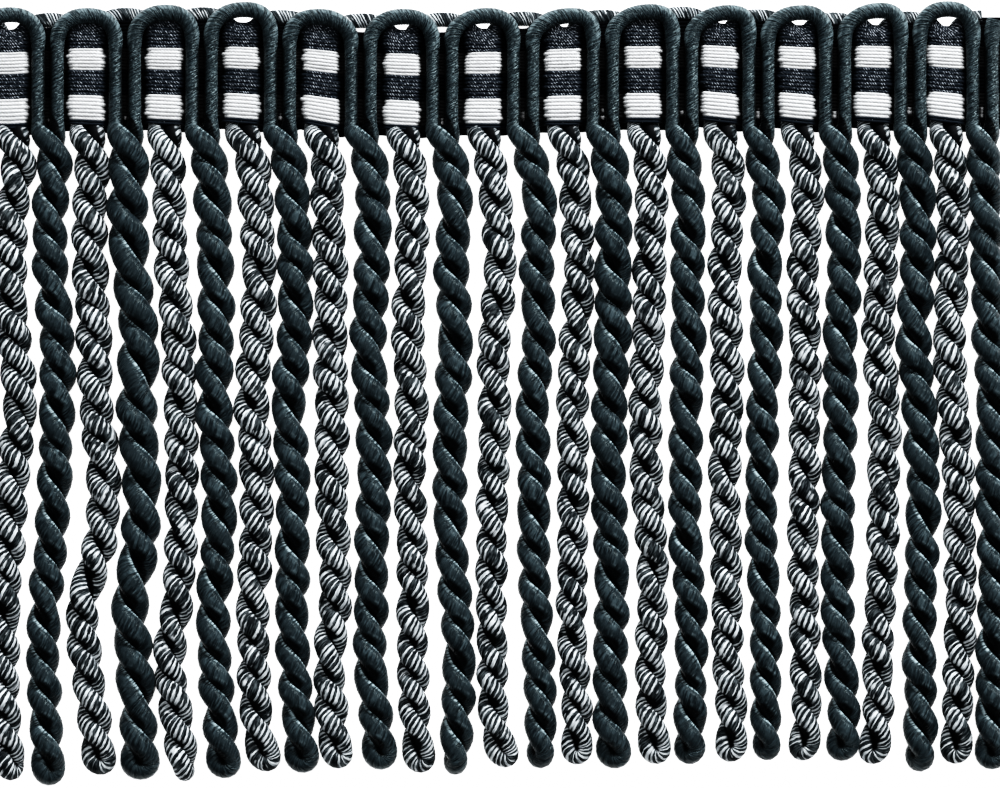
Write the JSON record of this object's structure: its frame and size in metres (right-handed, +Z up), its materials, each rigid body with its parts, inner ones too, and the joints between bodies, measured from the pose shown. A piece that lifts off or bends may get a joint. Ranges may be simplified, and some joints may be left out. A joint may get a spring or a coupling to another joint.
{
  "type": "bullion fringe trim",
  "caption": "Cut length of bullion fringe trim: an arched woven heading over hanging twisted cords with looped ends, alternately black and mixed black and white.",
  "frame": {"origin": "middle of the cut length and of the height, on the surface the trim lies on", "axes": "+X along the trim, +Y from the bullion tips to the arch tops, +Z up out of the face"},
  "size_m": [0.208, 0.1524, 0.0067],
  "materials": {
    "black_gimp": "black wrapped gimp cord with a soft slate sheen",
    "mixed_gimp": "gimp cord wrapped in black and white stripes",
    "black_warp": "matt black twisted yarn",
    "white_warp": "white twisted yarn"
  },
  "bodies": {
    "root": {"black_gimp": "black_gimp", "mixed_gimp": "mixed_gimp", "warp_black_upper": "black_warp", "warp_white_upper": "white_warp", "warp_black_lower": "black_warp", "warp_white_lower": "white_warp"}
  },
  "joints": []
}
